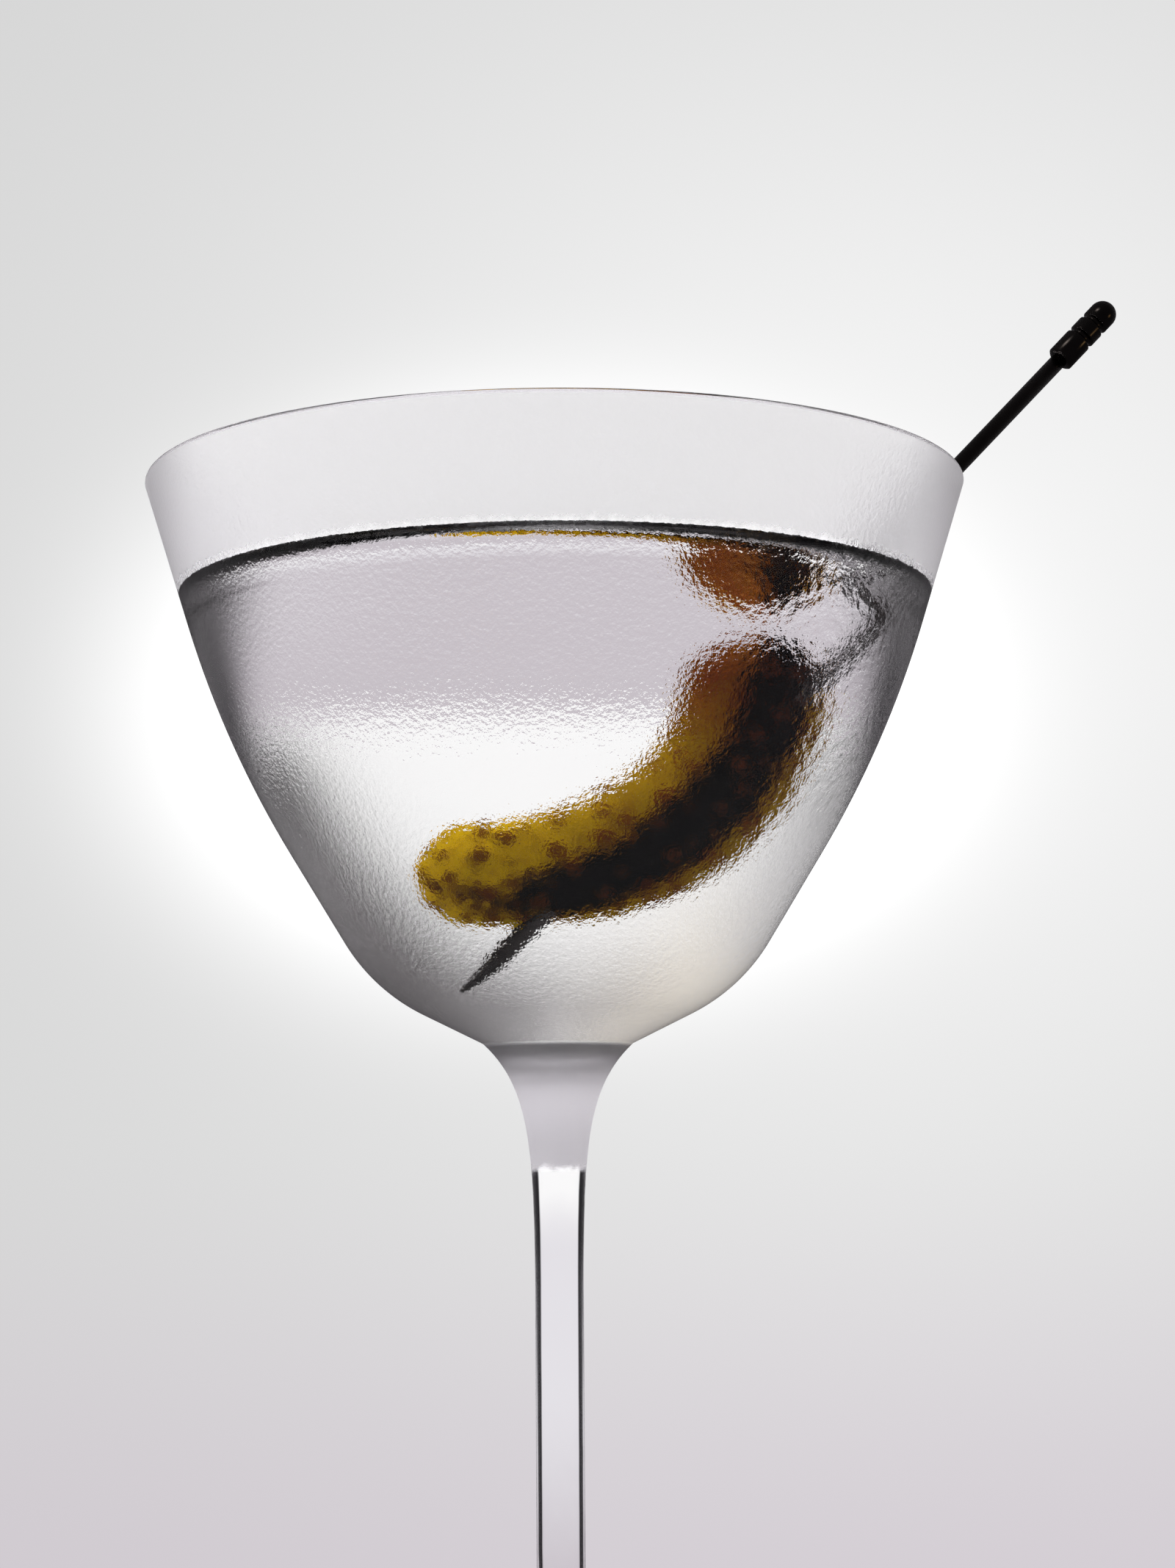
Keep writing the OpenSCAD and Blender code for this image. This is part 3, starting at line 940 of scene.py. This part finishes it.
@dataclass
class Studio:
    """The camera, the surroundings and the pale floor. Azimuth 0 is +Y, and 90 is +X."""

    camera_back: float = 391.44
    camera_drop: float = 86.89
    pitch_a: float = 7.028
    yaw_a: float = 0.578
    roll_a: float = -0.400
    lens: float = 70.82
    floor_r: float = 290.0
    clear_r: float = 90.0
    floor_gap: float = 0.15
    floor_rings: int = 24
    floor_sides: int = 96
    floor_tone: Colour = (0.34, 0.33, 0.345)
    haze: Colour = (0.96, 0.90, 0.96)
    room: Colour = (0.66, 0.65, 0.66)
    front: Colour = (0.34, 0.33, 0.34)
    above_left: Colour = (0.42, 0.40, 0.40)
    above_right: Colour = (0.24, 0.225, 0.235)
    cream: Colour = (1.0, 0.90, 0.74)
    panel: Colour = (0.97, 0.965, 0.97)
    below: Colour = (0.78, 0.76, 0.80)
    table: Colour = (0.577, 0.533, 0.577)
    flag: Colour = (0.006, 0.005, 0.007)
    curtain: Colour = (0.030, 0.022, 0.024)
    dim: Colour = (0.06, 0.055, 0.06)
    softbox: Lobe = Lobe(-140.0, 42.0, 7.0, (4.5, 4.2, 4.0))
    warm_lamp: Lobe = Lobe(120.0, -12.0, 5.0, (3.0, 2.0, 0.9))
    lamp_behind: Colour = (3.9, 3.88, 3.95)
    lamp_front: Colour = (0.16, 0.15, 0.16)
    lamp_above: Colour = (2.2, 2.19, 2.2)
    lamp_below: Colour = (0.30, 0.28, 0.31)
    left_fill: Lobe = Lobe(-115.0, 35.0, 26.0, (5.0, 5.0, 5.0))
    warm_side: Lobe = Lobe(100.0, 0.0, 14.0, (1.5, 1.15, 0.75))
    rim_h: float = field(default_factory=lambda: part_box("glass")[1].z / MM)

    def camera(self) -> None:
        """Sets the camera below the rim, looking slightly upwards."""
        pitch, yaw, roll = (math.radians(a) for a in (self.pitch_a, self.yaw_a, self.roll_a))
        ahead = np.array([math.sin(yaw) * math.cos(pitch), math.cos(yaw) * math.cos(pitch),
                          math.sin(pitch)])
        level = np.array([math.cos(yaw), -math.sin(yaw), 0.0])
        up = np.cross(level, ahead)
        right = math.cos(roll) * level + math.sin(roll) * up
        up = math.cos(roll) * up - math.sin(roll) * level
        eye = np.array([0.0, -self.camera_back, self.rim_h - self.camera_drop]) * MM
        data = bpy.data.cameras.new("camera")
        data.lens = self.lens
        data.sensor_width = 36.0
        data.clip_start = 0.01
        camera = bpy.data.objects.new("camera", data)
        turn = np.eye(4)
        turn[:3] = np.stack([right, up, -ahead, eye], axis=1)
        camera.matrix_world = Matrix(turn.tolist())
        bpy.context.scene.collection.objects.link(camera)
        bpy.context.scene.camera = camera
        bpy.context.scene.view_settings.view_transform = "Standard"

    def backdrop(self, graph: Graph, az: Wire, el: Wire) -> Wire:
        """What shows behind the object: pale grey with a bright pool behind the bowl, lilac low down."""
        pool = 0.27 * el.bell(10.0, 12.5) * az.bell(6.0, 14.0)
        far = (az + 0.3) * (1 / 7.6)
        rise = (el - 8.5) * (1 / 5.2)
        away = far * far + rise * rise
        halo = 0.6 * (away * away * -1.0).math("EXPONENT")
        grey = 0.65 + pool + halo
        pale = graph.add("ShaderNodeCombineColor", None, {0: grey, 1: grey, 2: grey})
        tint = graph.blend(el.between(-24.0, -10.0, -8.0, 1.0), (1.0, 1.0, 1.0), self.haze)
        return graph.add("ShaderNodeMix", {"data_type": "RGBA", "blend_type": "MULTIPLY"},
                         {0: 1.0, 6: pale, 7: tint}, 2)

    def through(self, graph: Graph, az: Wire, el: Wire) -> Wire:
        """What clear glass and drink show: a white panel behind, with a dark flag on either side.

        The left flag ends lower than the right one. A patch of cream light is high on the left, and a
        dark curtain on the right.

        Args:
            graph: The world's nodes.
            az: The direction's azimuth.
            el: Its elevation.

        Returns:
            The colour in that direction.
        """
        side = az.math("ABSOLUTE")
        shade = graph.blend(side.rise(112.0, 150.0), self.room, self.front)
        above = graph.blend(az.rise(-20.0, 20.0), self.above_left, self.above_right)
        shade = graph.blend(el.rise(58.0, 68.0), shade, above)
        patch = az.between(-112.0, -100.0, -82.0, -75.0) * el.rise(44.0, 54.0)
        shade = graph.blend(patch, shade, self.cream)
        shade = graph.blend(side.rise(41.0, 35.0), shade, self.panel)
        shade = graph.blend(el.rise(3.0, -1.0), shade, self.below)
        shade = graph.blend(el.rise(-4.0, -9.0), shade, self.table)
        wide, slim = side.rise(80.0, 72.0), side.rise(64.0, 54.0)
        flag = side.rise(35.0, 41.0) * (wide + (slim - wide) * el.rise(-1.0, -6.0)) * el.rise(-30.0, -15.0)
        left, right = el.rise(40.0, 22.0), el.rise(85.0, 65.0)
        flag = flag * (left + (right - left) * az.rise(-4.0, 4.0))
        shade = graph.blend(flag, shade, self.flag)
        curtain = az.between(70.0, 82.0, 104.0, 126.0) * el.between(0.0, 14.0, 58.0, 76.0)
        return graph.blend(curtain, shade, self.curtain)

    def gleams(self, graph: Graph, ray: Wire) -> Wire:
        """What the surfaces reflect: dim surroundings, a softbox up on the left and a small warm lamp."""
        shade = graph.blend(self.softbox.glow(graph, ray), self.dim, self.softbox.colour)
        return graph.blend(self.warm_lamp.glow(graph, ray), shade, self.warm_lamp.colour)

    def lamps(self, graph: Graph, az: Wire, el: Wire, ray: Wire) -> Wire:
        """What lights mist, skin and floor: strong from behind, softer overhead and left, dim in front."""
        side = az.math("ABSOLUTE")
        shade = graph.blend(side.rise(60.0, 120.0), self.lamp_behind, self.lamp_front)
        shade = graph.blend(el.rise(20.0, 70.0) * 0.8, shade, self.lamp_above)
        shade = graph.blend(el.rise(0.0, -20.0) * 0.85, shade, self.lamp_below)
        shade = graph.blend(self.left_fill.glow(graph, ray), shade, self.left_fill.colour)
        return graph.blend(self.warm_side.glow(graph, ray), shade, self.warm_side.colour)

    def world(self) -> None:
        """Builds the surroundings, which differ for what shows, shines through, gleams and lights."""
        world = bpy.data.worlds.new("studio")
        world.use_nodes = True
        bpy.context.scene.world = world
        graph = Graph(world.node_tree)
        ray = graph.add("ShaderNodeTexCoord", output="Generated")
        east, north, high = (graph.add("ShaderNodeSeparateXYZ", None, {0: ray}, i) for i in range(3))
        az = east.math("ARCTAN2", north) * (180 / math.pi)
        el = high.math("ARCSINE") * (180 / math.pi)
        kind = {name: graph.add("ShaderNodeLightPath", None, None, name) for name in (
            "Is Camera Ray", "Is Glossy Ray", "Is Transmission Ray", "Diffuse Depth")}
        clean = kind["Diffuse Depth"].rise(0.6, 0.4)
        mirrored, bent = kind["Is Glossy Ray"] * clean, kind["Is Transmission Ray"] * clean
        colour = graph.blend(mirrored, self.lamps(graph, az, el, ray), self.gleams(graph, ray))
        colour = graph.blend(bent, colour, self.through(graph, az, el))
        colour = graph.blend(kind["Is Camera Ray"], colour, self.backdrop(graph, az, el))
        sky = graph.add("ShaderNodeBackground", None, {"Color": colour, "Strength": 1.0})
        graph.add("ShaderNodeOutputWorld", None, {"Surface": sky})

    def floor(self) -> None:
        """Makes a pale round floor that fades out into the backdrop."""
        turn = np.linspace(0, 2 * math.pi, self.floor_sides, endpoint=False)
        ring = np.stack([np.cos(turn), np.sin(turn), 0 * turn], axis=1)
        reach = np.linspace(0.04, 1, self.floor_rings)[:, None, None] * self.floor_r
        points = (ring[None] * reach - (0, 0, self.floor_gap)).reshape(-1, 3) * MM
        index = np.arange(len(points)).reshape(self.floor_rings, self.floor_sides)
        ahead = np.roll(index, -1, axis=1)
        quads = np.stack([index[:-1], index[1:], ahead[1:], ahead[:-1]], axis=2).reshape(-1, 4)
        mesh = bpy.data.meshes.new("floor")
        mesh.from_pydata(points.tolist(), [], quads.tolist() + [index[0].tolist()])
        made = bpy.data.materials.new("floor")
        made.use_nodes = True
        graph = Graph(made.node_tree)
        flat = graph.place((1.0, 1.0, 0.0))
        reach = graph.add("ShaderNodeVectorMath", {"operation": "LENGTH"}, {0: flat}, "Value")
        pale = graph.add("ShaderNodeBsdfDiffuse", None, {"Color": (*self.floor_tone, 1.0)})
        gone = graph.add("ShaderNodeBsdfTransparent")
        graph.surface(graph.mix(reach.rise(self.clear_r, self.floor_r), pale, gone))
        mesh.materials.append(made)
        floor = bpy.data.objects.new("floor", mesh)
        bpy.context.scene.collection.objects.link(floor)
        floor.visible_glossy = False

    def build(self) -> None:
        """Makes the camera, the world and the floor."""
        self.camera()
        self.world()
        self.floor()
        log.info("studio: camera, surroundings and floor")


def main() -> None:
    """Builds the studio and the object's pieces in order."""
    logging.basicConfig(level=logging.INFO, format="%(name)s: %(message)s")
    Studio().build()
    glass = Stemware()
    drink = Drink(glass)
    glass.build(drink.high)
    drink.build()
    pick = Pick(glass)
    pick.build()
    Gherkin(pick).build()


if __name__ == "__main__":
    main()
